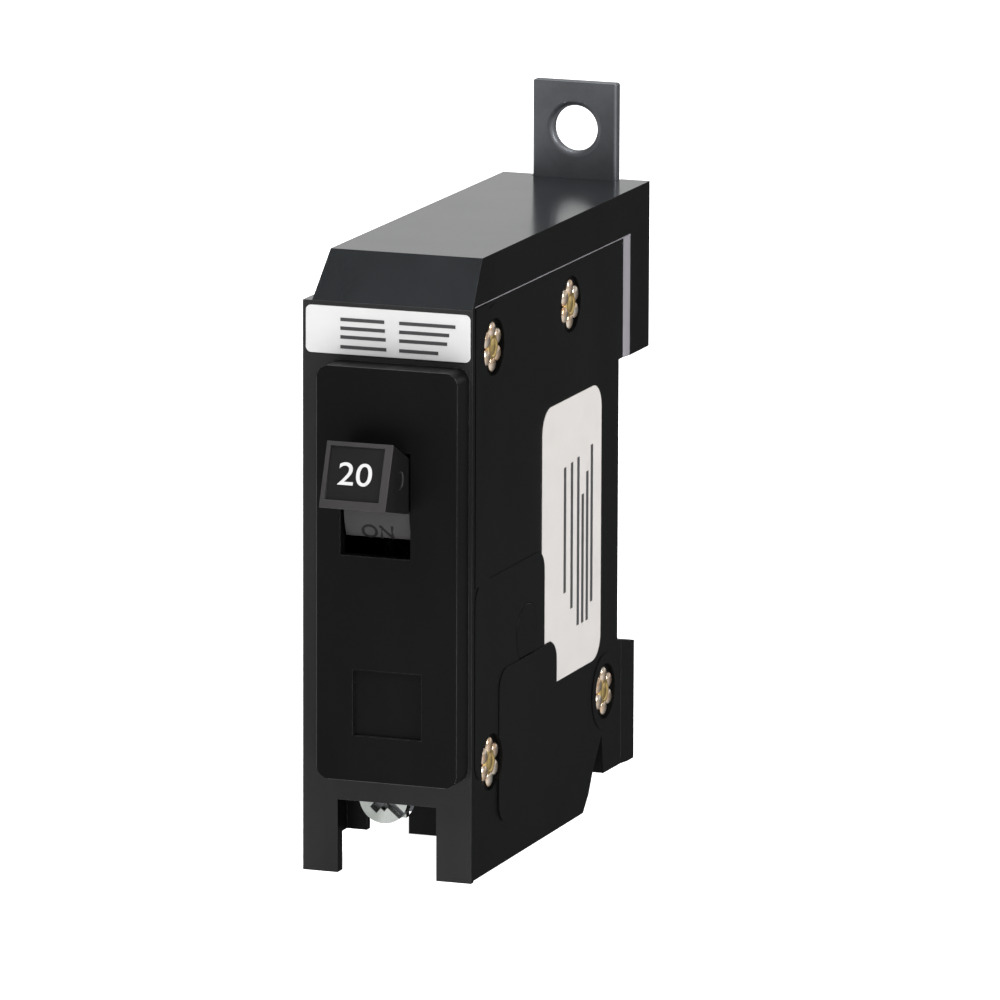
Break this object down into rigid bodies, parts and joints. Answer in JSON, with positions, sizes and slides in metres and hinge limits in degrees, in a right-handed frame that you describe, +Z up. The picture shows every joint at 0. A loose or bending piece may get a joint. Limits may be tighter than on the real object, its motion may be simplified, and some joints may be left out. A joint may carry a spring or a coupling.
{
  "type": "circuit breaker",
  "caption": "Single-pole bolt-on thermal-magnetic circuit breaker, 20 A rocker-style handle shown on, with its contact, trip, arc and terminal parts inside.",
  "frame": {"origin": "centre of the footprint at the bottom of the feet", "axes": "+X across the case towards the cover side, +Y from the handle to the back, +Z up to the line tongue"},
  "size_m": [0.0254, 0.0876, 0.1031],
  "materials": {
    "case_black": "satin moulded",
    "handle_grey": "satin moulded",
    "label_pale": "matt print film",
    "brass_rivet": "rolled, lightly tarnished",
    "tinned_copper": "dull tin plate",
    "copper": "bright",
    "silver_contact": "satin",
    "zinc_steel": "zinc plated",
    "plain_steel": "as rolled",
    "spring_steel": "bright drawn",
    "fibre_board": "matt",
    "bimetal_strip": "satin"
  },
  "bodies": {
    "case": {"base_shell": "case_black", "side_cover": "case_black", "case_rivets": "brass_rivet", "front_label": "label_pale", "side_label": "label_pale", "calibration_plug": "case_black", "line_strap": "tinned_copper", "fixed_contact": "silver_contact", "line_barrier": "fibre_board", "arm_pin": "plain_steel", "mechanism_frame": "zinc_steel", "cradle_pin": "plain_steel", "flexible_braid": "copper", "bimetal": "bimetal_strip", "bimetal_rivets": "brass_rivet", "magnet_yoke": "plain_steel", "armature_pin": "plain_steel", "armature_spring": "spring_steel", "arc_plates": "plain_steel", "arc_chute_walls": "fibre_board", "arc_vent_baffle": "fibre_board", "load_strap": "copper", "calibration_screw": "brass_rivet"},
    "handle": {"handle": "handle_grey"},
    "contact_arm": {"contact_arm": "copper", "moving_contact": "silver_contact", "toggle_spring": "spring_steel"},
    "cradle": {"cradle": "zinc_steel"},
    "armature": {"armature": "plain_steel"},
    "clamp": {"clamp_plate": "zinc_steel"},
    "screw": {"terminal_screw": "zinc_steel"}
  },
  "joints": [
    {"name": "handle_toggle", "type": "hinge", "parent": "case", "child": "handle", "pos_m": [0, -0.0252, 0.0537], "axis": [1, 0, 0], "range_deg": [0, 34]},
    {"name": "contact_open", "type": "hinge", "parent": "case", "child": "contact_arm", "pos_m": [0, -0.013, 0.058], "axis": [-1, 0, 0], "range_deg": [0, 17], "deforming": ["toggle_spring", "flexible_braid"]},
    {"name": "cradle_trip", "type": "hinge", "parent": "case", "child": "cradle", "pos_m": [0, -0.011, 0.045], "axis": [1, 0, 0], "range_deg": [0, 15]},
    {"name": "armature_pull", "type": "hinge", "parent": "case", "child": "armature", "pos_m": [0, 0.0072, 0.0275], "axis": [-1, 0, 0], "range_deg": [0, 8], "deforming": ["armature_spring"]},
    {"name": "clamp_travel", "type": "slide", "parent": "case", "child": "clamp", "axis": [0, 1, 0], "range_m": [0, 0.003]},
    {"name": "screw_turn", "type": "hinge", "parent": "clamp", "child": "screw", "pos_m": [-0.0011, -0.0266, 0.011], "axis": [0, 1, 0], "range_deg": [0, 1350]}
  ],
  "couplings": [
    {"joint": "contact_open", "follows": "handle_toggle", "ratio": 0.5},
    {"joint": "screw_turn", "follows": "clamp_travel", "rad_per_m": 7854}
  ]
}
